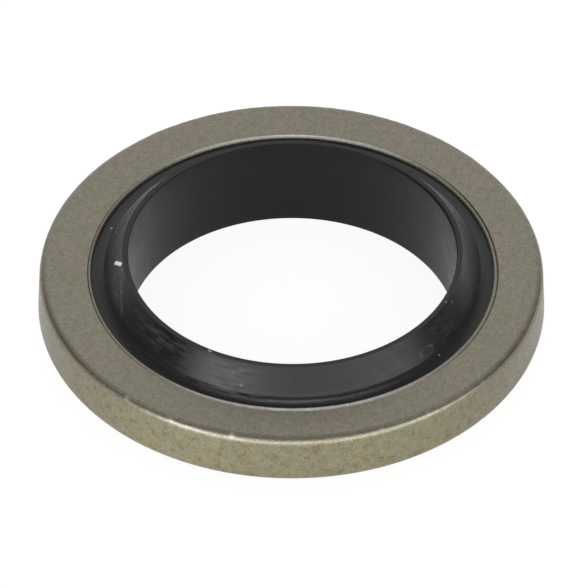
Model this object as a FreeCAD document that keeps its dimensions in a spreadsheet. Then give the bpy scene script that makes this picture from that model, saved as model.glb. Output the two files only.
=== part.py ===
# Bonded sealing washer: a flat steel ring with a rubber seal moulded into its bore.
# Lengths are in millimetres. The washer lies on its lower lip: +Z runs up its axis, and the
# origin is the centre of its footprint.
import FreeCAD, Part
import math
import os
import Sketcher

# Driving dimensions: name, value, and what it measures.
SIZES = [
    ("seal_bore", 13.32, "hole through the rubber, across"),
    ("seal_width", 1.47, "rubber, from its bore to the hole in the steel"),
    ("ring_width", 2.155, "steel ring, from its hole to its outside"),
    ("ring_thickness", 2.25, "steel ring, face to face"),
    ("wall_taper", 0.055, "by which the punched outer wall draws in from the lower to the upper face"),
    ("upper_edge_round", 0.38, "rolled outer edge on the upper face"),
    ("lower_edge_round", 0.40, "rolled outer edge on the lower face"),
    ("rim_width", 0.28, "crowned rim beside the ring's hole"),
    ("rim_drop", 0.14, "fall of the rim below the face, at the ring's hole"),
    ("rim_crown", 0.07, "rise of the rim above its two edges"),
    ("bite_width", 0.04, "outer flank of the mark that the mould bites around the rim"),
    ("bite_depth", 0.08, "depth of that mark"),
    ("lip_rise", 0.965, "lip, above the steel face"),
    ("lip_inner_round", 0.06, "rounded edge between the bore and the lip's land"),
    ("lip_land", 0.18, "flat land on top of the lip"),
    ("hollow_width", 0.42, "hollow between the foot of the lip's outer flank and the steel"),
    ("lip_foot_round", 0.35, "hollow round where the flank runs out at its foot"),
    ("flank_lead", 1.5, "degrees by which the flank is steeper than a line from land to foot"),
    ("foot_below_face", 0.10, "foot of the flank below the steel face"),
    ("hollow_round", 0.80, "round of the hollow, from the foot to the steel"),
    ("bond_below_face", 0.19, "rubber below the steel face where it meets the steel"),
]

# The cutter of the rim stands this far clear of the steel that it leaves.
OVERRUN = 0.1

# Places that both pieces share: radii from the axis, and heights above the middle plane.
BORE = "Sizes.seal_bore / 2"
HOLE = f"({BORE} + Sizes.seal_width)"
OUTSIDE = f"({HOLE} + Sizes.ring_width)"
FACE = "Sizes.ring_thickness / 2"
TOP = f"({FACE} + Sizes.lip_rise)"


def add_sheet(doc):
    """Writes the driving dimensions to a spreadsheet, one alias each."""
    sheet = doc.addObject("Spreadsheet::Sheet", "Sizes")
    for row, (alias, value, meaning) in enumerate(SIZES, start=1):
        sheet.set(f"A{row}", meaning)
        sheet.set(f"B{row}", str(value))
        sheet.setAlias(f"B{row}", alias)
    doc.recompute()
    return sheet


def add_body(doc, name):
    """Starts a piece whose own XY plane is the washer's middle plane."""
    body = doc.addObject("PartDesign::Body", name)
    body.Label = name
    body.setExpression("Placement.Base.z", TOP)
    return body


def origin_plane(body, role):
    """Finds one of the body's own origin planes."""
    return next(item for item in body.Origin.OriginFeatures if item.Role == role)


def add_sketch(body, name, role):
    """Adds an empty sketch on one of the body's origin planes."""
    sketch = body.newObject("Sketcher::SketchObject", name)
    sketch.AttachmentSupport = [(origin_plane(body, role), "")]
    sketch.MapMode = "FlatFace"
    return sketch


def bind(sketch, constraint, expression):
    """Adds a constraint and ties its value to the sheet."""
    index = sketch.addConstraint(constraint)
    sketch.setExpression(f"Constraints[{index}]", expression)


def arc_through(start, end, radius, side):
    """An arc from start to end, which bulges to the left of its travel for side 1 and right for -1."""
    chord = end - start
    half = chord.Length / 2
    sagitta = radius - math.sqrt(max(radius**2 - half**2, 0))
    left = FreeCAD.Vector(-chord.y, chord.x, 0).normalize()
    middle = (start + end) / 2 + left * side * sagitta
    return Part.Arc(start, middle, end)


def draw_section(sketch, corners, arcs, smooth=()):
    """Draws a closed section through corners, each a (radius, height) pair of expressions.

    arcs maps a corner's number to the (radius, side) of the arc that leaves it. The other edges
    are straight. A smooth corner is only drawn near its pair: its edges meet there in one line.
    """
    points = []
    for across, height in corners:
        place = [float(sketch.evalExpression(text)) for text in (across, height)]
        points.append(FreeCAD.Vector(place[0], place[1], 0))
    count = len(corners)
    for number, start in enumerate(points):
        end = points[(number + 1) % count]
        if number in arcs:
            radius, side = arcs[number]
            size = float(sketch.evalExpression(radius))
            edge = sketch.addGeometry(arc_through(start, end, size, side))
            bind(sketch, Sketcher.Constraint("Radius", edge, size), radius)
        else:
            sketch.addGeometry(Part.LineSegment(start, end))
    for number, point in enumerate(points):
        last, after = (number - 1) % count, number
        ends = (last, edge_end(sketch, last, point), after, edge_end(sketch, after, point))
        if number in smooth:
            sketch.addConstraint(Sketcher.Constraint("Tangent", *ends))
        else:
            sketch.addConstraint(Sketcher.Constraint("Coincident", *ends))
            pin(sketch, after, ends[3], point, corners[number])


def pin(sketch, edge, end, point, corner):
    """Ties one end of an edge to its place, a (radius, height) pair of expressions."""
    across, height = corner
    bind(sketch, Sketcher.Constraint("DistanceX", -1, 1, edge, end, point.x), across)
    bind(sketch, Sketcher.Constraint("DistanceY", -1, 1, edge, end, point.y), height)


def edge_end(sketch, edge, point):
    """Says which end of a sketch's edge lies at a point: 1 for its start and 2 for its end."""
    gaps = {end: sketch.getPoint(edge, end).distanceToPoint(point) for end in (1, 2)}
    return min(gaps, key=gaps.get)


def turn(feature, sketch):
    """Makes a full turn of a section about the axis, as solid or as cut."""
    feature.Profile = sketch
    feature.ReferenceAxis = (sketch, ["V_Axis"])
    feature.Angle = 360
    return feature


def round_edge(body, base, name, radius, corner):
    """Rounds the edge at a corner of the blank, a (radius, height) pair of expressions."""
    outside, target = [float(base.evalExpression(text)) for text in corner]
    edges = []
    for number, edge in enumerate(base.Shape.Edges, start=1):
        curve = edge.Curve
        if not isinstance(curve, Part.Circle):
            continue
        same_height = abs(curve.Center.z - target) < Part.Precision.confusion()
        if same_height and abs(curve.Radius - outside) < Part.Precision.confusion():
            edges.append(f"Edge{number}")
    fillet = body.newObject("PartDesign::Fillet", name)
    fillet.Base = (base, edges)
    fillet.setExpression("Radius", radius)
    return fillet


def mirror_down(body, feature, name):
    """Repeats a feature below the body's middle plane."""
    mirrored = body.newObject("PartDesign::Mirrored", name)
    mirrored.Originals = [feature]
    mirrored.MirrorPlane = (origin_plane(body, "XY_Plane"), [""])
    body.Tip = mirrored
    return mirrored


def steel_ring(doc):
    """The punched ring: a flat blank with rolled outer edges and a crowned rim at its hole."""
    body = add_body(doc, "steel_ring")
    upper_corner = (f"{OUTSIDE} - Sizes.wall_taper", FACE)
    lower_corner = (OUTSIDE, f"-{FACE}")
    section = add_sketch(body, "blank_section", "XZ_Plane")
    corners = [(HOLE, f"-{FACE}"), lower_corner, upper_corner, (HOLE, FACE)]
    draw_section(section, corners, {})
    blank = turn(body.newObject("PartDesign::Revolution", "blank"), section)
    doc.recompute()
    upper = round_edge(body, blank, "upper_edge", "Sizes.upper_edge_round", upper_corner)
    doc.recompute()
    round_edge(body, upper, "lower_edge", "Sizes.lower_edge_round", lower_corner)
    doc.recompute()
    mirror_down(body, rim_cut(body), "lower_rim")
    return body


def rim_cut(body):
    """Cuts the mark that the mould bites into the upper face, and crowns the rim inside it."""
    bite = f"{HOLE} + Sizes.rim_width"
    bite_edge = f"{bite} + Sizes.bite_width"
    rim_edge = f"{FACE} - Sizes.rim_drop"
    clear_inside = f"{HOLE} - {OVERRUN}"
    clear_above = f"{FACE} + {OVERRUN}"
    crown = "(Sizes.rim_width ^ 2 / 4 + Sizes.rim_crown ^ 2) / (2 * Sizes.rim_crown)"
    corners = [
        (bite_edge, clear_above),
        (bite_edge, FACE),
        (bite, f"{FACE} - Sizes.bite_depth"),
        (HOLE, rim_edge),
        (clear_inside, rim_edge),
        (clear_inside, clear_above),
    ]
    crown_corner = 2
    sketch = add_sketch(body, "rim_section", "XZ_Plane")
    draw_section(sketch, corners, {crown_corner: (crown, -1)})
    return turn(body.newObject("PartDesign::Groove", "upper_rim"), sketch)


def rubber_seal(doc):
    """The moulded seal: a straight bore, a lip above and below, and a wall bonded to the ring."""
    body = add_body(doc, "rubber_seal")
    land = f"{BORE} + Sizes.lip_inner_round"
    crest = f"{land} + Sizes.lip_land"
    foot = f"{HOLE} - Sizes.hollow_width"
    foot_level = f"{FACE} - Sizes.foot_below_face"
    run_out = "Sizes.lip_foot_round / 2"
    corners = [
        (BORE, "0"),
        (BORE, f"{TOP} - Sizes.lip_inner_round"),
        (land, TOP),
        (crest, TOP),
        (f"{foot} - {run_out}", f"{foot_level} + {run_out}"),
        (foot, foot_level),
        (HOLE, f"{FACE} - Sizes.bond_below_face"),
        (HOLE, "0"),
    ]
    inner_round, flank, run_out_start, hollow = 1, 3, 4, 5
    arcs = {
        inner_round: ("Sizes.lip_inner_round", 1),
        run_out_start: ("Sizes.lip_foot_round", -1),
        hollow: ("Sizes.hollow_round", -1),
    }
    sketch = add_sketch(body, "seal_section", "XZ_Plane")
    draw_section(sketch, corners, arcs, smooth=[run_out_start])
    fall = f"atan(({TOP} - ({foot_level})) / ({foot} - ({crest})))"
    slope = f"-({fall} + Sizes.flank_lead * 1 deg)"
    start = math.radians(float(sketch.evalExpression(slope)))
    bind(sketch, Sketcher.Constraint("Angle", flank, start), slope)
    upper = turn(body.newObject("PartDesign::Revolution", "upper_half"), sketch)
    mirror_down(body, upper, "lower_half")
    return body


def check(doc, bodies):
    """Stops if any object failed or any piece isn't one valid solid."""
    for item in doc.Objects:
        if "Invalid" in item.State or "Error" in item.State:
            raise RuntimeError(f"{item.Name} failed: {item.State}")
    for body in bodies:
        shape = body.Shape
        if shape.isNull() or not shape.isValid() or len(shape.Solids) != 1:
            raise RuntimeError(f"{body.Label} isn't one valid solid")


def main():
    doc = FreeCAD.newDocument("sealing_washer")
    add_sheet(doc)
    bodies = [steel_ring(doc), rubber_seal(doc)]
    doc.recompute()
    check(doc, bodies)
    os.makedirs("parts", exist_ok=True)
    for body in bodies:
        body.Shape.exportStep(f"parts/{body.Label}.step")
        box = body.Shape.BoundBox
        print(body.Label, f"volume {body.Shape.Volume:.3f}", box)


main()
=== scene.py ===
"""Dresses the bonded sealing washer: a plated steel ring with a black rubber seal in its bore.

Lengths are written in millimetres and turned into metres where meshes are made. Heights inside
the profiles are measured from the washer's middle plane. Bearings are degrees round the washer
from the front, the side nearest the camera, positive towards +X and up to 180 at the rear.
"""
import math

import bpy
import numpy as np
from mathutils import Matrix, Vector


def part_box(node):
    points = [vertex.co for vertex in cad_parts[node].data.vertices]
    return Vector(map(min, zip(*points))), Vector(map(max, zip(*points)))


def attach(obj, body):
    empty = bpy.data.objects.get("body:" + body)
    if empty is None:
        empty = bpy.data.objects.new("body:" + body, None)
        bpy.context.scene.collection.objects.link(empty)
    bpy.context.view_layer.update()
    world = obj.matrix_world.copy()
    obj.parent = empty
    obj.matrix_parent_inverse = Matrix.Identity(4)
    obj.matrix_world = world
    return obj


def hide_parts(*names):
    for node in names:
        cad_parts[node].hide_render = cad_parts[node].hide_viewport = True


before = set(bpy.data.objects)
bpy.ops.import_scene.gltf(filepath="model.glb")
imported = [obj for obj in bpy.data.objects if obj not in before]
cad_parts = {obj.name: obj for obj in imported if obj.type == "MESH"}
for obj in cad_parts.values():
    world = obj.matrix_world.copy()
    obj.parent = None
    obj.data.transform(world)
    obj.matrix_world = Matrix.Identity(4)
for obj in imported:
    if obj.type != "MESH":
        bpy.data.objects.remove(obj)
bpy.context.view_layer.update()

MM = 0.001
# Points round each piece, and the angle in degrees from which its faces meet in a sharp edge
STEPS = 960
SHARP_ANGLE = 30

RING_LOW, RING_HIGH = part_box("steel_ring")
SEAL_LOW, SEAL_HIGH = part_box("rubber_seal")
MIDDLE = (SEAL_LOW.z + SEAL_HIGH.z) / 2 / MM
OUTSIDE = RING_HIGH.x / MM
FACE = (RING_HIGH.z - RING_LOW.z) / 2 / MM
LIP = (SEAL_HIGH.z - SEAL_LOW.z) / 2 / MM

# The steel: its hole, its rolled edges, the crowned rim, and the mark that the mould bites there
HOLE, TAPER = 8.13, 0.055
UPPER_ROUND, LOWER_ROUND = 0.38, 0.40
RIM_WIDTH, RIM_DROP, RIM_CROWN = 0.28, 0.14, 0.07
BITE_WIDTH, BITE_DEPTH = 0.04, 0.08
RIM_END = HOLE + RIM_WIDTH
BITE_END = RIM_END + BITE_WIDTH
ROUND_START = OUTSIDE - TAPER - UPPER_ROUND

# The rubber: its bore, the lip's round and land, the flank's foot, and the hollow behind it
BORE, LIP_ROUND, LIP_LAND = 6.66, 0.06, 0.18
FOOT, FOOT_ROUND, FOOT_DROP, FLANK_LEAD = 7.71, 0.35, 0.10, 1.5
HOLLOW_ROUND, BOND_DROP = 0.80, 0.19
LAND = BORE + LIP_ROUND
CREST = LAND + LIP_LAND
# Extra rows on the bore, from its lower edge up, so that stains keep near that edge
BORE_ROWS = (-1.94, -1.80, -1.4, 0.0, 1.4)

# The punched hole, and the rubber in it, lie off the middle of the ring's outside. The shift
# fades out towards a radius, over a width inside it.
OFF_CENTRE = (0.038, -0.030)
SHIFT_END, SHIFT_FADE = 9.6, 1.0

# Lengths that differ by less are the same, and points that lie nearer to an edge belong to it.
SAME, MARGIN = 1e-6, 0.01


# Profiles

def line(start, end, count, ease=False):
    """Points on a straight run, without its end. With ease they crowd towards both ends."""
    t = np.arange(count) / count
    if ease:
        t = (1 - np.cos(np.pi * t)) / 2
    start, end = np.array(start), np.array(end)
    return [tuple(start + (end - start) * k) for k in t]


def arc(centre, radius, first, last, count):
    """Points on an arc between two angles in degrees, without its end."""
    turns = np.radians(first + (last - first) * np.arange(count) / count)
    return [(centre[0] + radius * math.cos(a), centre[1] + radius * math.sin(a)) for a in turns]


def arc_between(start, end, radius, side, count):
    """Points on an arc that bulges to the left of its travel for side 1, without its end."""
    start, end = np.array(start), np.array(end)
    chord = end - start
    half = np.hypot(*chord) / 2
    left = np.array([-chord[1], chord[0]]) / (2 * half)
    centre = (start + end) / 2 - left * side * math.sqrt(radius**2 - half**2)
    first = math.atan2(*(start - centre)[::-1])
    last = math.atan2(*(end - centre)[::-1])
    last = first + (last - first + math.pi) % (2 * math.pi) - math.pi
    return arc(centre, radius, math.degrees(first), math.degrees(last), count)


def steel_half(edge_round, outside):
    """The ring's section from its hole, over one face, to the end of the rounded edge."""
    rim_in, rim_out = (HOLE, FACE - RIM_DROP), (RIM_END, FACE - BITE_DEPTH)
    crown = (RIM_WIDTH**2 / 4 + RIM_CROWN**2) / (2 * RIM_CROWN)
    bite_out = (BITE_END, FACE)
    turn = (outside - edge_round, FACE)
    edge_foot = FACE - edge_round
    return (
        arc_between(rim_in, rim_out, crown, side=1, count=14)
        + line(rim_out, bite_out, count=5)
        + line(bite_out, turn, count=12, ease=True)
        + arc((turn[0], edge_foot), edge_round, first=90, last=0, count=18)
        + [(outside, edge_foot)]
    )


def seal_half():
    """The seal's section from its bore, over one lip, to the steel."""
    land, crest = (LAND, LIP), (CREST, LIP)
    foot, bond = (FOOT, FACE - FOOT_DROP), (HOLE, FACE - BOND_DROP)
    fall = math.atan2(LIP - foot[1], FOOT - CREST) + math.radians(FLANK_LEAD)
    run_out = tangent_point(crest, fall, foot, FOOT_ROUND)
    return (
        arc((LAND, LIP - LIP_ROUND), LIP_ROUND, first=180, last=90, count=8)
        + line(land, crest, count=4)
        + line(crest, run_out, count=10, ease=True)
        + arc_between(run_out, foot, FOOT_ROUND, side=-1, count=9)
        + arc_between(foot, bond, HOLLOW_ROUND, side=-1, count=12)
        + [bond]
    )


def tangent_point(start, fall, end, radius):
    """Where a line that falls from start at an angle runs into a hollow arc that stops at end."""
    along = np.array([math.cos(fall), -math.sin(fall)])
    normal = np.array([math.sin(fall), math.cos(fall)])
    gap = np.array(end) - np.array(start)
    across = float(gap @ normal)
    # The arc's centre lies one radius outside the line, and one radius from end.
    reach = float(gap @ along) - math.sqrt(radius**2 - (radius - across) ** 2)
    return tuple(np.array(start) + along * reach)


def both_halves(upper, lower):
    """Closes a section: over the upper half, then back over the mirrored lower half."""
    return upper + [(r, -z) for r, z in reversed(lower)]


# Meshes

def revolve(name, section, shape):
    """A closed ring of quads from a closed section, whose points shape moves and marks."""
    section = np.array(section)
    count = len(section)
    turns = 2 * np.pi * np.arange(STEPS) / STEPS
    radius = np.repeat(section[:, :1], STEPS, axis=1)
    height = np.repeat(section[:, 1:], STEPS, axis=1)
    radius, height, marks = shape(radius, height, turns)
    x, y = radius * np.sin(turns), -radius * np.cos(turns)
    shift = np.clip((SHIFT_END - radius) / SHIFT_FADE, 0, 1)
    points = np.stack(
        [x + OFF_CENTRE[0] * shift, y + OFF_CENTRE[1] * shift, height + MIDDLE], axis=-1
    )
    index = np.arange(count * STEPS).reshape(count, STEPS)
    right, up = np.roll(index, -1, axis=1), np.roll(index, -1, axis=0)
    quads = np.stack([index, right, np.roll(up, -1, axis=1), up], axis=-1).reshape(-1, 4)
    mesh = bpy.data.meshes.new(name)
    mesh.from_pydata((points.reshape(-1, 3) * MM).tolist(), [], quads.tolist())
    for mark, values in marks.items():
        layer = mesh.attributes.new(mark, "FLOAT", "POINT")
        values = np.broadcast_to(values, radius.shape)
        layer.data.foreach_set("value", values.astype(np.float32).ravel())
    mesh.shade_smooth()
    mesh.set_sharp_from_angle(angle=math.radians(SHARP_ANGLE))
    mesh.update()
    piece = bpy.data.objects.new(name, mesh)
    bpy.context.scene.collection.objects.link(piece)
    return piece


def wave(turns, seed, orders, fall):
    """A smooth random curve round the ring, made of whole waves, about 1 high."""
    rng = np.random.default_rng(seed)
    total = np.zeros_like(turns)
    power = 0.0
    for order in orders:
        size = (orders[0] / order) ** fall
        total += size * np.sin(order * turns + rng.uniform(0, 2 * np.pi))
        power += size**2 / 2
    return total / math.sqrt(power) / 2


def uneven(turns, base, waves):
    """A base value that wanders round the ring by waves, each a size, seed, orders and fall."""
    total = base
    for size, seed, orders, fall in waves:
        total = total + size * wave(turns, seed, orders, fall)
    return total


def step_up(value, low, high):
    """0 below low and 1 above high, with a smooth rise."""
    t = np.clip((value - low) / (high - low), 0, 1)
    return t * t * (3 - 2 * t)


def hump(value, centre, width):
    """A smooth bump, 1 at its centre."""
    return np.exp(-(((value - centre) / width) ** 2))


def spot(bearing, place):
    """A smooth bump round the ring, from its bearing, its spread in degrees and its strength."""
    centre, spread, strength = place
    return strength * hump(bearing, centre, spread)


def growth(value, change):
    """A change that sets in smoothly: its size, and the values where it starts and is complete."""
    size, low, high = change
    return size * step_up(value, low, high)


def bearing_of(turns):
    """Degrees from the front, -180 to 180, positive towards +X."""
    return (np.degrees(turns) + 180) % 360 - 180


# Materials

class Nodes:
    """Adds and links shader nodes with little writing."""

    def __init__(self, tree):
        self.tree = tree
        tree.nodes.clear()

    def add(self, kind, inputs=None, **settings):
        node = self.tree.nodes.new(kind)
        for key, value in settings.items():
            setattr(node, key, value)
        for key, value in (inputs or {}).items():
            socket = node.inputs[key]
            if isinstance(value, bpy.types.NodeSocket):
                self.tree.links.new(value, socket)
            else:
                socket.default_value = value
        return node

    def math(self, operation, a, b=0.0, clamp=False):
        node = self.add("ShaderNodeMath", {0: a, 1: b}, operation=operation)
        node.use_clamp = clamp
        return node.outputs[0]

    def vector(self, operation, a, b=(0.0, 0.0, 0.0)):
        return self.add("ShaderNodeVectorMath", {0: a, 1: b}, operation=operation).outputs

    def times(self, tone, factor):
        return self.vector("MULTIPLY", tone, factor)[0]

    def noise(self, where, scale, detail, roughness):
        """A cloudy pattern, with about scale cells to a metre."""
        values = {"Vector": where, "Scale": scale, "Detail": detail, "Roughness": roughness}
        return self.add("ShaderNodeTexNoise", values).outputs["Fac"]

    def ramp(self, value, low, high, to_low=0.0, to_high=1.0):
        values = {0: value, 1: low, 2: high, 3: to_low, 4: to_high}
        node = self.add("ShaderNodeMapRange", values, interpolation_type="SMOOTHSTEP")
        return node.outputs[0]

    def mix(self, factor, a, b):
        node = self.add("ShaderNodeMix", {0: factor, 6: a, 7: b}, data_type="RGBA")
        return node.outputs[2]

    def attribute(self, name):
        return self.add("ShaderNodeAttribute", attribute_name=name).outputs["Fac"]

    def bump(self, height, depth):
        values = {"Strength": 1.0, "Distance": depth * MM, "Height": height}
        return self.add("ShaderNodeBump", values).outputs[0]


def new_material(name):
    material = bpy.data.materials.new(name)
    material.use_nodes = True
    return material, Nodes(material.node_tree)


def colour(red, green, blue):
    return (red, green, blue, 1.0)


def grey(level):
    return colour(level, level, level)


# The plating on the faces, and its colours on the outer wall
OLIVE, PINKISH = colour(0.237, 0.231, 0.176), colour(0.255, 0.228, 0.183)
YELLOW, DULL_YELLOW = colour(0.285, 0.256, 0.160), colour(0.262, 0.250, 0.170)
PALE_PATCH, BROWN_SPOT = colour(0.300, 0.282, 0.205), colour(0.190, 0.148, 0.090)
# Painted shade: the colour the wall is darkened to towards its sides
WALL_SIDE_SHADE = colour(0.195, 0.178, 0.137)
# Bare metal, partly real wear and partly painted highlight; the edge's dark line, partly tarnish and
# partly painted shade
BARE_METAL_AND_HIGHLIGHT, TARNISH_AND_SHADE = colour(0.66, 0.64, 0.60), colour(0.135, 0.108, 0.070)

# The rubber, and what lies on it
BLACK, SOFT_BLACK = colour(0.0022, 0.0022, 0.0030), colour(0.0045, 0.0045, 0.0056)
# The bloom, and the painted highlight along the flank's foot
BLOOM, FOOT_HIGHLIGHT = colour(0.050, 0.049, 0.044), colour(0.17, 0.17, 0.165)
RUST, FLECK = colour(0.016, 0.010, 0.006), colour(0.80, 0.79, 0.74)

# The paper: its colour, the part of it that shows the shadow, and the lift to white
PAPER, SHADOWED, LIFT = grey(0.8), grey(0.2), 0.89

# How much of the pale patches, the brown spots and the rust-brown line shows
PALE_STRENGTH, SPOT_STRENGTH, RUST_STRENGTH = 0.4, 0.65, 0.8
# How deep the grain goes
STEEL_GRAIN, RUBBER_GRAIN = 0.005, 0.001
# The steel's least and greatest roughness, and what the streaks take from the rubber's or add
STEEL_ROUGHNESS, STREAK_ROUGHNESS = (0.34, 0.46), (-0.07, 0.10)
RUBBER_IOR = 1.42
SHEEN_ROUGHNESS = 0.3
# Roughness, how much rougher the cloudy parts are, specular level and sheen
FLANK_GLOSS, BORE_GLOSS = (0.24, 0.06, 0.5, 0.25), (0.36, 0.06, 0.29, 0.0)
# Metres of pattern to one radian round the bore, which draws it out into streaks
STREAK_PACE = 0.0016

# Flecks and scratches, from the middle of the bore: start, end, half width, strength
SCRATCHES = [
    ((-7.17, -0.27, 1.735), (-6.94, -0.64, 1.980), 0.090, 1.0),
    ((-7.37, 2.64, 0.92), (-7.37, 2.64, 0.98), 0.06, 0.35),
    ((-6.39, 1.97, 1.94), (-6.39, 1.97, 1.99), 0.06, 0.45),
    ((-3.28, -5.96, 2.09), (-3.34, -5.90, 2.09), 0.06, 0.30),
    ((-2.05, -7.17, 1.34), (-2.05, -7.17, 1.40), 0.045, 0.22),
    ((5.92, -4.97, 0.96), (5.92, -4.97, 1.00), 0.05, 0.15),
    ((6.20, -3.00, 2.09), (6.20, -2.97, 2.07), 0.05, 0.14),
    ((6.48, -2.78, 1.90), (6.48, -2.76, 1.94), 0.05, 0.10),
    ((-6.86, -2.83, 1.33), (-6.91, -1.48, 1.86), 0.08, 0.03),
    ((-7.10, -2.60, 1.05), (-7.22, -1.60, 1.40), 0.035, 0.05),
]
# A scratch fades between these shares of its half width.
SCRATCH_FADE = (0.6, 1.15)
# A scuffed ring on the flank: its centre and radius, by how much it is flattened in height, the
# distances from its line between which it fades, and its strength
SCUFF_CENTRE, SCUFF_RADIUS, SCUFF_FLATNESS = (5.44, -5.12, 1.34), 0.36, 2.6
SCUFF_FADE, SCUFF_STRENGTH = (0.02, 0.090), 0.055


def steel_material():
    """Satin plating with an olive and pinkish bloom; its outer edge has tarnish and painted shade."""
    material, n = new_material("plated_steel")
    where = n.add("ShaderNodeTexCoord").outputs["Object"]
    blotch = n.noise(where, 800, 2.0, 0.5)
    cloud = n.noise(where, 3400, 3.0, 0.6)
    grain = n.noise(where, 15000, 3.0, 0.65)
    pore = n.noise(where, 7000, 2.0, 0.6)
    face = n.mix(n.ramp(blotch, 0.42, 0.60), OLIVE, PINKISH)
    tone = n.mix(n.attribute("wall"), face, wall_tone(n, where))
    # Bare metal where worn, and painted highlights on the rim and the edge
    tone = n.mix(n.attribute("worn_and_highlight"), tone, BARE_METAL_AND_HIGHLIGHT)
    # The edge's dark line: partly tarnish, partly painted shade
    tarnish_and_shade_mask = n.math("MULTIPLY", n.attribute("tarnish_and_shade"), n.ramp(cloud, 0.30, 0.60, 0.65, 1.0))
    tone = n.mix(tarnish_and_shade_mask, tone, TARNISH_AND_SHADE)
    tone = n.times(tone, n.ramp(grain, 0.28, 0.72, 0.80, 1.20))
    tone = n.times(tone, n.ramp(cloud, 0.30, 0.70, 0.93, 1.07))
    tone = n.times(tone, n.attribute("shade"))
    values = {
        "Base Color": tone,
        "Metallic": 1.0,
        "Roughness": n.ramp(pore, 0.3, 0.7, *STEEL_ROUGHNESS),
        "Normal": n.bump(grain, STEEL_GRAIN),
    }
    shader = n.add("ShaderNodeBsdfPrincipled", values)
    n.add("ShaderNodeOutputMaterial", {"Surface": shader.outputs[0]})
    return material


def wall_tone(n, where):
    """The outer wall's plating: yellower, with pale patches and brown spots, and painted shade at its
    sides.
    """
    patch = n.noise(where, 1500, 2.0, 0.5)
    pale = n.ramp(n.noise(where, 2300, 3.0, 0.6), 0.52, 0.64)
    spots = n.ramp(n.noise(where, 3300, 4.0, 0.65), 0.50, 0.66)
    wall = n.mix(n.ramp(patch, 0.38, 0.60), YELLOW, DULL_YELLOW)
    wall = n.mix(n.math("MULTIPLY", pale, PALE_STRENGTH), wall, PALE_PATCH)
    wall = n.mix(n.math("MULTIPLY", spots, SPOT_STRENGTH), wall, BROWN_SPOT)
    # Painted shade towards the wall's sides
    return n.mix(n.attribute("end"), wall, WALL_SIDE_SHADE)


def rubber_material(name, gloss, scratches):
    """Nearly black moulded rubber: streaks, a greyish bloom, a rust-brown lower edge, a painted foot
    highlight.
    """
    rough, cloudy_rough, level, sheen = gloss
    material, n = new_material(name)
    where = n.add("ShaderNodeTexCoord").outputs["Object"]
    cloud = n.noise(where, 1100, 3.0, 0.55)
    grain = n.noise(where, 16000, 2.0, 0.5)
    streak = n.noise(drawn_round(n, where), 7000, 3.0, 0.6)
    tone = n.mix(n.ramp(cloud, 0.45, 0.75), BLACK, SOFT_BLACK)
    bloom = n.math("MULTIPLY", n.attribute("bloom"), n.ramp(streak, 0.35, 0.62))
    tone = n.mix(bloom, tone, BLOOM)
    # A painted highlight along the flank's foot at the front
    foot = n.math("MULTIPLY", n.attribute("foot"), n.ramp(streak, 0.36, 0.58, 0.45, 1.0))
    tone = n.mix(foot, tone, FOOT_HIGHLIGHT)
    tone = n.mix(n.math("MULTIPLY", n.attribute("rust"), RUST_STRENGTH), tone, RUST)
    for mark in scratches:
        tone = n.mix(scratch(n, where, *mark), tone, FLECK)
    if scratches:
        tone = n.mix(scuffed_ring(n, where, streak), tone, FLECK)
    clouded = n.ramp(cloud, 0.3, 0.7, rough, rough + cloudy_rough)
    handled = n.ramp(streak, 0.35, 0.65, *STREAK_ROUGHNESS)
    handled = n.math("MULTIPLY", n.attribute("streaks"), handled)
    values = {
        "Base Color": tone,
        "Roughness": n.math("ADD", clouded, handled),
        "IOR": RUBBER_IOR,
        "Specular IOR Level": level,
        "Sheen Weight": sheen,
        "Sheen Roughness": SHEEN_ROUGHNESS,
        "Normal": n.bump(grain, RUBBER_GRAIN),
    }
    shader = n.add("ShaderNodeBsdfPrincipled", values)
    n.add("ShaderNodeOutputMaterial", {"Surface": shader.outputs[0]})
    return material


def drawn_round(n, where):
    """Places in which a pattern comes out drawn into streaks round the bore."""
    x, y, z = n.add("ShaderNodeSeparateXYZ", {0: where}).outputs
    bearing = n.math("ARCTAN2", x, n.math("MULTIPLY", y, -1.0))
    across = n.math("SQRT", n.math("ADD", n.math("POWER", x, 2.0), n.math("POWER", y, 2.0)))
    turned = {0: n.math("MULTIPLY", bearing, STREAK_PACE), 1: across, 2: z}
    return n.add("ShaderNodeCombineXYZ", turned).outputs[0]


def on_seal(place):
    """A point of the rubber in scene units, from millimetres about the middle of its bore."""
    x, y, z = place
    return ((x + OFF_CENTRE[0]) * MM, (y + OFF_CENTRE[1]) * MM, (z + MIDDLE) * MM)


def scratch(n, where, start, end, width, strength):
    """strength within a half width of a line between two points, fading at its sides."""
    start, end = Vector(on_seal(start)), Vector(on_seal(end))
    run = end - start
    away = n.vector("SUBTRACT", where, tuple(start))[0]
    passed = n.vector("DOT_PRODUCT", away, tuple(run))["Value"]
    along = n.math("MULTIPLY", passed, 1 / run.length_squared, clamp=True)
    nearest = n.vector("MULTIPLY", tuple(run), along)[0]
    reach = n.vector("LENGTH", n.vector("SUBTRACT", away, nearest)[0])["Value"]
    full, gone = (share * width * MM for share in SCRATCH_FADE)
    return n.ramp(reach, full, gone, strength, 0.0)


def scuffed_ring(n, where, streak):
    """A faint ring scuffed into the flank, and broken up by the streaks."""
    away = n.vector("SUBTRACT", where, on_seal(SCUFF_CENTRE))[0]
    flat = n.times(away, (1.0, 1.0, SCUFF_FLATNESS))
    reach = n.vector("LENGTH", flat)["Value"]
    gap = n.math("ABSOLUTE", n.math("SUBTRACT", reach, SCUFF_RADIUS * MM))
    full, gone = (distance * MM for distance in SCUFF_FADE)
    mark = n.ramp(gap, full, gone, SCUFF_STRENGTH, 0.0)
    return n.math("MULTIPLY", mark, n.ramp(streak, 0.40, 0.60, 0.2, 1.0))


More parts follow.
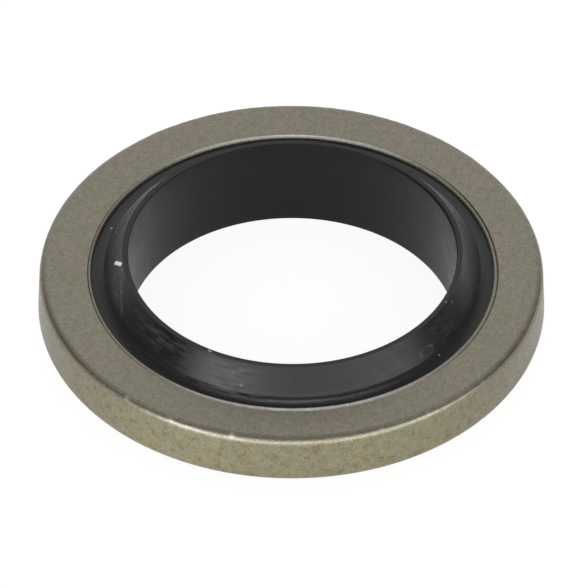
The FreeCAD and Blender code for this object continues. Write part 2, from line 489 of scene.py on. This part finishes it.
def floor_material():
    """White paper. Seen by eye or in a reflection it is lifted to white, and keeps its shadow."""
    material, n = new_material("floor_white")
    path = n.add("ShaderNodeLightPath").outputs
    seen = n.math("MAXIMUM", path["Is Camera Ray"], path["Is Glossy Ray"])
    seen = n.math("MAXIMUM", seen, path["Is Transmission Ray"])
    paper = n.add("ShaderNodeBsdfDiffuse", {"Color": PAPER}).outputs[0]
    shadow = n.add("ShaderNodeBsdfDiffuse", {"Color": SHADOWED}).outputs[0]
    lift = n.add("ShaderNodeEmission", {"Color": grey(1), "Strength": LIFT}).outputs[0]
    white = n.add("ShaderNodeAddShader", {0: shadow, 1: lift}).outputs[0]
    shader = n.add("ShaderNodeMixShader", {0: seen, 1: paper, 2: white}).outputs[0]
    n.add("ShaderNodeOutputMaterial", {"Surface": shader})
    return material


# The steel ring

# The crowned rim on the upper face, every 20 degrees from the rear: shares of its nominal width,
# of the mark around it, of its crown and of its drop, and how bright it is painted: partly real
# wear, and a painted highlight at the front and rear
RIM_BEARINGS = np.arange(-180, 181, 20)
WIDTH_SHARES = [
    .32, .34, .44, .44, .46, .60, .73, .86, 1.02, 1.07,
    1.11, 1.04, .93, .80, .61, .5, .45, .34, .32,
]
BITE_SHARES = [
    .05, .05, .1, .3, .45, .5, .55, .7, 1.15, 1.45,
    1.35, 1.1, .9, .75, .75, .65, .3, .05, .05,
]
CROWN_SHARES = [
    .4, .4, .5, .7, .8, .9, .95, 1, 1.1, 1.15,
    1.1, 1.05, 1, 1, .9, .8, .6, .4, .4,
]
DROP_SHARES = [.45, .5, .8, 1, 1, 1, 1, 1, 1, 1, 1, 1, 1, 1, 1, 1, .8, .5, .45]
WORN_AND_LIT_SHARES = [1, .7, .1, .1, .1, .1, .1, .1, .6, 1.1, .7, .2, .1, .1, .1, .1, .1, .6, 1]
# A rim of another width moves the face beside it, from this far outside the rim to this radius.
RIM_BLEND_START, RIM_BLEND_END = 0.1, 9.2
# The rim's overhang over the rubber at the rear, and the bearings between which it grows
REAR_OVERHANG, OVERHANG_BEARINGS = 0.04, (90, 150)

# Waves round the ring: size, seed, orders, and how fast the higher orders fall off
EDGE_WAVES = [(0.010, 5, range(3, 40, 2), 0.5), (0.006, 6, range(40, 160, 7), 0.3)]
TARNISH_AND_SHADE_WAVES = [(0.22, 9, range(2, 30), 0.6), (0.16, 15, range(60, 230, 11), 0.2)]
HIGHLIGHT_WAVES = [(0.6, 21, range(4, 60, 3), 0.4)]

# On the rolled upper edge, 0 degrees is its end on the face and 90 its end on the wall. Middle
# and width of its unevenness, its painted highlight and its nicks, and where the wall's plating
# begins
EDGE_UNEVEN, EDGE_HIGHLIGHT_BAND, EDGE_NICKS, EDGE_TO_WALL = (45, 25), (55, 7), (42, 12), (50, 80)
TARNISH_AND_SHADE_STRENGTH, TARNISH_AND_SHADE_MIDDLE, TARNISH_AND_SHADE_WIDTH = 0.62, 38, 3.5
# The painted highlight on the edge: its strength, and the bearings over which it fades from the front
HIGHLIGHT_STRENGTH, HIGHLIGHT_BEARINGS = 0.13, (28, 58)

# How the dark line of tarnish and painted shade changes round the ring, with the bearings over
# which each change sets in: it lies lower, wider and darker at the sides, wider still at the left
# as far as the last pair of bearings, and higher and fainter at the rear
LOWER_BESIDE, WIDER_BESIDE, DARKER_BESIDE = (10, 20, 75), (2.5, 20, 60), (0.25, 35, 65)
HIGHER_REAR, FAINTER_REAR = (14, 100, 130), (0.60, 100, 130)
WIDER_LEFT, LEFT_STOPS = (5, 40, 70), (-120, -80)

# Bearings over which painted shade darkens the wall towards its right side, and towards its left
RIGHT_WALL_SHADE, LEFT_WALL_SHADE = (15, 80), (38, 78)

# Bearing, spread in degrees and strength: the brightest painted highlight, the nicks on the edge,
# the painted shade on the front of the face, and the painted light on the wall
BRIGHTEST_HIGHLIGHT = (-25, 5, 0.28)
NICKS = [(-13.5, 0.6, 1.0), (-28.5, 0.6, 0.7), (-40.8, 0.6, 0.9), (21.0, 0.6, 0.3), (33.0, 0.6, 0.3)]
DIM_FACE, LIT_WALL = (0, 26, 0.14), (-27, 13, 0.13)
# The share of the face's painted shade at the front that is lost between two radii, and the
# painted shade on the bright rim at the sides, over the bearings where it sets in and, counted
# from the rear, where it stops again
DIM_FACE_LOSS = (0.5, 8.6, 9.8)
DIM_RIM, DIM_RIM_STOPS = (0.14, 30, 60), (-150, -120)


def shape_steel(radius, height, turns):
    """Gives the punched ring its unevenness; marks its wall, tarnish, wear, painted shade and
    highlights.
    """
    bearing = bearing_of(turns)
    upper = height > 0
    on_rim = (radius < RIM_END + MARGIN) & (np.abs(height) > FACE - RIM_DROP - MARGIN)
    # Partly real wear, partly a painted highlight at the front and rear of the rim
    worn_and_highlight = on_rim * np.interp(bearing, RIM_BEARINGS, WORN_AND_LIT_SHARES)
    radius, height = shape_rim(radius, height, bearing)

    edge_angle = np.degrees(np.arctan2(radius - ROUND_START, height - (FACE - UPPER_ROUND)))
    on_edge = upper & (height > FACE - UPPER_ROUND - MARGIN)
    wander = uneven(turns, 0, EDGE_WAVES) * hump(edge_angle, *EDGE_UNEVEN)
    radius = radius + np.where(on_edge, wander, 0)
    # Adds the painted highlight along the edge at the front, and the nicks in it
    worn_and_highlight = np.maximum(worn_and_highlight, np.where(on_edge, edge_highlight(turns, edge_angle), 0))
    wall = np.where(upper, step_up(edge_angle, *EDGE_TO_WALL), 1) * (radius > ROUND_START)
    marks = {
        # A dark line on the edge, partly tarnish and partly painted shade
        "tarnish_and_shade": np.where(on_edge, edge_tarnish_and_shade(turns, edge_angle), 0),
        "wall": wall,
        "worn_and_highlight": worn_and_highlight,
        # Painted shade on the wall towards its sides
        "end": np.maximum(
            step_up(bearing, *RIGHT_WALL_SHADE), step_up(-bearing, *LEFT_WALL_SHADE)
        ),
        "shade": steel_shade(radius, bearing, worn_and_highlight, wall),
    }
    return radius, height, marks


def shape_rim(radius, height, bearing):
    """Gives the upper rim, and the mark around it, their width and height at each bearing."""
    share, bite, crown, drop = [
        np.interp(bearing, RIM_BEARINGS, shares)
        for shares in (WIDTH_SHARES, BITE_SHARES, CROWN_SHARES, DROP_SHARES)
    ]
    upper = height > 0
    in_rim = upper & (radius <= RIM_END + SAME) & (height > FACE - RIM_DROP - SAME)
    in_bite = upper & (radius > RIM_END + SAME) & (radius < BITE_END)
    along = np.clip((radius - HOLE) / RIM_WIDTH, 0, 1)
    chord = FACE - RIM_DROP + along * (RIM_DROP - BITE_DEPTH)
    bulge = np.clip(height - chord, 0, None)
    crowned = FACE - RIM_DROP * drop * (1 - along) - BITE_DEPTH * bite * along + bulge * crown
    bitten = FACE - BITE_DEPTH * bite * np.clip((BITE_END - radius) / BITE_WIDTH, 0, 1)
    height = np.where(in_rim, crowned, np.where(in_bite, bitten, height))

    blend = 1 - step_up(radius, RIM_END + RIM_BLEND_START, RIM_BLEND_END)
    reach = np.clip(radius - HOLE, 0, RIM_WIDTH) * np.where(radius > RIM_END, blend, 1)
    widened = np.where(upper, (share - 1) * reach, 0)
    overhang = REAR_OVERHANG * step_up(np.abs(bearing), *OVERHANG_BEARINGS) * (1 - along)
    return radius + widened - np.where(in_rim, overhang, 0), height


def edge_tarnish_and_shade(turns, edge_angle):
    """The edge's dark line, tarnish and painted shade: lower and wider at the sides, fainter at the
    rear.
    """
    bearing = bearing_of(turns)
    side = np.abs(bearing)
    middle = TARNISH_AND_SHADE_MIDDLE + growth(side, LOWER_BESIDE) - growth(side, HIGHER_REAR)
    left = growth(-bearing, WIDER_LEFT) * step_up(bearing, *LEFT_STOPS)
    width = TARNISH_AND_SHADE_WIDTH + growth(side, WIDER_BESIDE) + left
    strength = uneven(turns, TARNISH_AND_SHADE_STRENGTH, TARNISH_AND_SHADE_WAVES)
    strength = strength * (1 + growth(side, DARKER_BESIDE) - growth(side, FAINTER_REAR))
    return hump(edge_angle, middle, width) * strength


def edge_highlight(turns, edge_angle):
    """The painted highlight along the rolled edge at the front, and the nicks in it."""
    bearing = bearing_of(turns)
    highlight_and_nicks = HIGHLIGHT_STRENGTH * uneven(turns, 1, HIGHLIGHT_WAVES) + spot(bearing, BRIGHTEST_HIGHLIGHT)
    front = 1 - step_up(np.abs(bearing), *HIGHLIGHT_BEARINGS)
    highlight_and_nicks = highlight_and_nicks * front * hump(edge_angle, *EDGE_HIGHLIGHT_BAND)
    for nick in NICKS:
        highlight_and_nicks = highlight_and_nicks + spot(bearing, nick) * hump(edge_angle, *EDGE_NICKS)
    return highlight_and_nicks


def steel_shade(radius, bearing, worn_and_highlight, wall):
    """Painted shade on the inner face's front and the bright rim's sides, and painted light on the
    wall.
    """
    side = np.abs(bearing)
    dim_face = spot(bearing, DIM_FACE) * (1 - growth(radius, DIM_FACE_LOSS)) * (1 - wall)
    dim_rim = growth(side, DIM_RIM) * step_up(-side, *DIM_RIM_STOPS)
    dim_rim = dim_rim * (worn_and_highlight > 0) * (radius < BITE_END)
    return 1 - dim_face + spot(bearing, LIT_WALL) * wall - dim_rim


# The rubber seal

# Bearing, spread in degrees and strength: three marks on the flank, the streaks, the painted
# highlight along the foot, and how sharp or blunt the lip's inner edge is
SMUDGE, CLOUDY, HANDLED = (-22, 10, 1.0), (57, 6, 0.22), (-50, 10, 0.5)
STREAKS, FOOT_HIGHLIGHT_PLACE = (-30, 45, 0.65), (0, 20, 0.50)
SHARP_EDGE, BLUNT_EDGE = (-105, 45, 0.5), (105, 45, 1.2)
# The radii between which those three marks begin, and where the last two of them end
MARKS_BEGIN, CLOUDY_END, HANDLED_END = (6.9, 7.05), 7.5, (7.15, 7.6)
# The streaks' least strength on the flank, and their strength elsewhere
FLANK_STREAKS, OTHER_STREAKS = 0.35, 0.15
# The painted highlight along the flank's foot, and a fainter one above it: how far outside the
# foot each lies, its width and its strength
FOOT_HIGHLIGHTS = [(0.04, 0.04, 1.0), (-0.09, 0.08, 0.15)]
# The rust-brown line grows between these depths below the middle plane, inside this radius.
RUST_DEPTHS, RUST_END = (1.86, 2.05), 6.9
# At the rear the lip loses this share of its rise. Beside the steel the hollow sags by this much
# at the front, and at the rear it is flat and rises by this much.
LIP_FALL, LIP_FALL_BEARINGS = 0.09, (80, 150)
HOLLOW_SAG, SAG_BEARINGS, SAG_HEIGHTS = 0.30, (20, 80), (0.2, 0.5)
HOLLOW_RISE, FLAT_BEARINGS = 0.05, (95, 135)


def shape_seal(radius, height, turns):
    """Gives the rubber its unevenness, marks its bloomed, handled and rusty parts, paints a foot
    highlight.
    """
    bearing = bearing_of(turns)
    marks = seal_marks(radius, height, bearing)
    radius, height = shape_lip(radius, height, bearing)
    height = shape_hollow(radius, height, bearing)
    # A painted highlight along the foot at the front
    painted_foot_highlight = sum(
        strength * hump(radius, FOOT + offset, width) for offset, width, strength in FOOT_HIGHLIGHTS
    )
    marks["foot"] = painted_foot_highlight * (height > 0) * spot(bearing, FOOT_HIGHLIGHT_PLACE)
    return radius, height, marks


def seal_marks(radius, height, bearing):
    """Marks where the rubber is bloomed, streaked by handling, or stained at its lower edge."""
    flank = (radius > LAND) & (height > 0)
    begun = step_up(radius, *MARKS_BEGIN)
    smudge = spot(bearing, SMUDGE) * begun * (radius < FOOT)
    cloudy = spot(bearing, CLOUDY) * begun * (radius < CLOUDY_END)
    handled = spot(bearing, HANDLED) * begun * (1 - step_up(radius, *HANDLED_END))
    return {
        "bloom": np.where(flank, smudge + cloudy + handled, 0),
        "streaks": np.where(flank, FLANK_STREAKS + spot(bearing, STREAKS), OTHER_STREAKS),
        "rust": step_up(-height, *RUST_DEPTHS) * (radius < RUST_END),
    }


def shape_lip(radius, height, bearing):
    """Makes the lip's inner edge sharper at the left and blunter at the right, and its rear low."""
    blunt = 1 - spot(bearing, SHARP_EDGE) + spot(bearing, BLUNT_EDGE)
    on_round = (height > LIP - LIP_ROUND - SAME) & (radius < LAND + SAME)
    on_land = (height > LIP - SAME) & (radius > LAND)
    eased = CREST - (CREST - radius) / LIP_LAND * (CREST - BORE - LIP_ROUND * blunt)
    rounded = np.where(on_round, BORE + (radius - BORE) * blunt, radius)
    radius = np.where(on_land, eased, rounded)
    height = np.where(on_round, LIP - (LIP - height) * blunt, height)
    rise = np.clip(height - FACE, 0, None)
    return radius, height - rise * LIP_FALL * step_up(np.abs(bearing), *LIP_FALL_BEARINGS)


def shape_hollow(radius, height, bearing):
    """Makes the hollow at the lip's foot deeper at the front, and flat and shallow at the rear."""
    side = np.abs(bearing)
    along = np.clip((radius - FOOT) / (HOLE - FOOT), 0, 1)
    sag = HOLLOW_SAG * (1 - step_up(side, *SAG_BEARINGS)) * step_up(height, *SAG_HEIGHTS)
    height = height - sag * along
    chord = FACE - FOOT_DROP - (BOND_DROP - FOOT_DROP) * along
    flat = step_up(side, *FLAT_BEARINGS) * ((along > 0) & (height > 0))
    return height + flat * (chord - height + HOLLOW_RISE * along)


def build_washer():
    upper, lower = steel_half(UPPER_ROUND, OUTSIDE - TAPER), steel_half(LOWER_ROUND, OUTSIDE)
    steel = revolve("ring_dressed", both_halves(upper, lower), shape_steel)
    steel.data.materials.append(steel_material())
    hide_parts("steel_ring")
    bore = [(BORE, height) for height in BORE_ROWS]
    seal = revolve("seal_dressed", both_halves(seal_half(), seal_half()) + bore, shape_seal)
    seal.data.materials.append(rubber_material("black_rubber", FLANK_GLOSS, SCRATCHES))
    seal.data.materials.append(rubber_material("black_rubber_bore", BORE_GLOSS, []))
    inside = (BORE + LIP_ROUND / 2) * MM
    for face in seal.data.polygons:
        x, y = face.center.x - OFF_CENTRE[0] * MM, face.center.y - OFF_CENTRE[1] * MM
        face.material_index = int(math.hypot(x, y) < inside)
    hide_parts("rubber_seal")
    for piece in (steel, seal):
        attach(piece, "root")


# The studio

# Half the floor's side, in metres
FLOOR_REACH = 6.0
# The ceiling: the rises in degrees between which it brightens, and its strength below and above
CEILING = (30, 75, 0.30, 0.50)
# Angles in degrees at which a window's light starts, is full, begins to end and is gone: its
# bearings, or how far from the front it lies on either side, and then its rises
FRONT, FRONT_LEFT, FRONT_SOFT = (-66, -52, 62, 88), (-66, -52, -25, 5), (-66, -40, 40, 80)
BESIDE, BEHIND = (50, 80, 105, 135), (118, 156)
LOW, MIDDLING = (-4, 8, 19, 32), (14, 30, 37, 48)
HIGH, ANY_RISE = (32, 45, 60, 80), (-60, -30, 60, 82)
# The camera: its angles in degrees and its distance in outer radii
ELEVATION, ROLL, DISTANCE = 42.26, 0.128, 60
# Its picture: the pixels to a millimetre and along a side, and the pixel of the washer's middle
PIXELS_PER_MM, PICTURE, PICTURE_MIDDLE = 24.636, 588, (290.83, 289.25)
# Its sensor's width, and the distances in metres between which it sees
SENSOR, NEAREST, FARTHEST = 36.0, 0.01, 10.0


def build_floor():
    size = FLOOR_REACH
    mesh = bpy.data.meshes.new("floor")
    corners = [(-size, -size, 0), (size, -size, 0), (size, size, 0), (-size, size, 0)]
    mesh.from_pydata(corners, [], [(0, 1, 2, 3)])
    floor = bpy.data.objects.new("floor", mesh)
    floor.location.z = SEAL_LOW.z
    floor.data.materials.append(floor_material())
    bpy.context.scene.collection.objects.link(floor)


def build_world():
    """A soft studio: a long low window in front, a paler wall behind, and a dim ceiling."""
    world = bpy.data.worlds.new("studio")
    world.use_nodes = True
    bpy.context.scene.world = world
    n = Nodes(world.node_tree)
    axis = n.add("ShaderNodeSeparateXYZ", {0: n.add("ShaderNodeTexCoord").outputs["Generated"]})
    x, y, z = axis.outputs
    # Bearing from the front towards the right, and height above the horizon, in degrees
    bearing = n.math("DEGREES", n.math("ARCTAN2", x, n.math("MULTIPLY", y, -1.0)))
    away = n.math("ABSOLUTE", bearing)
    rise = n.math("DEGREES", n.math("ARCSINE", z))

    def patch(value, start, full, end, gone):
        """1 between full and end, falling to 0 at start and gone."""
        return n.math("MULTIPLY", n.ramp(value, start, full), n.ramp(value, end, gone, 1.0, 0.0))

    def window(shape, rises, strength):
        return n.math("MULTIPLY", n.math("MULTIPLY", shape, patch(rise, *rises)), strength)

    total = n.ramp(rise, *CEILING)
    lights = [
        window(patch(bearing, *FRONT), LOW, strength=3.0),
        window(patch(bearing, *FRONT_LEFT), LOW, strength=1.1),
        window(patch(bearing, *FRONT_SOFT), MIDDLING, strength=0.85),
        window(n.ramp(away, *BEHIND), ANY_RISE, strength=0.58),
        window(patch(away, *BESIDE), HIGH, strength=0.25),
    ]
    for light in lights:
        total = n.math("ADD", total, light)
    glow = n.add("ShaderNodeBackground", {"Color": grey(1), "Strength": total})
    n.add("ShaderNodeOutputWorld", {"Surface": glow.outputs[0]})


def build_camera():
    """A long lens, as the photograph's ellipses ask, aimed a little off the washer's middle."""
    elevation, roll = math.radians(ELEVATION), math.radians(ROLL)
    distance = DISTANCE * OUTSIDE * MM
    focal = PIXELS_PER_MM * distance / MM
    # The washer's middle, measured from the picture's left and top edges
    middle_x, middle_y = (place + 0.5 for place in PICTURE_MIDDLE)
    data = bpy.data.cameras.new("camera")
    data.sensor_width = SENSOR
    data.lens = focal * SENSOR / PICTURE
    data.clip_start, data.clip_end = NEAREST, FARTHEST
    camera = bpy.data.objects.new("camera", data)
    back = Vector((0, -math.cos(elevation), math.sin(elevation)))
    upright = back.to_track_quat("Z", "Y").to_matrix()
    turned = upright @ Matrix.Rotation(roll, 3, "Z")
    right, up = turned @ Vector((1, 0, 0)), turned @ Vector((0, 1, 0))
    pixel = distance / focal
    offset = right * (PICTURE / 2 - middle_x) * pixel + up * (middle_y - PICTURE / 2) * pixel
    place = Vector((0, 0, MIDDLE * MM)) + back * distance + offset
    camera.matrix_world = Matrix.Translation(place) @ turned.to_4x4()
    bpy.context.scene.collection.objects.link(camera)
    bpy.context.scene.camera = camera


build_washer()
build_floor()
build_world()
build_camera()
bpy.context.scene.view_settings.view_transform = "Standard"
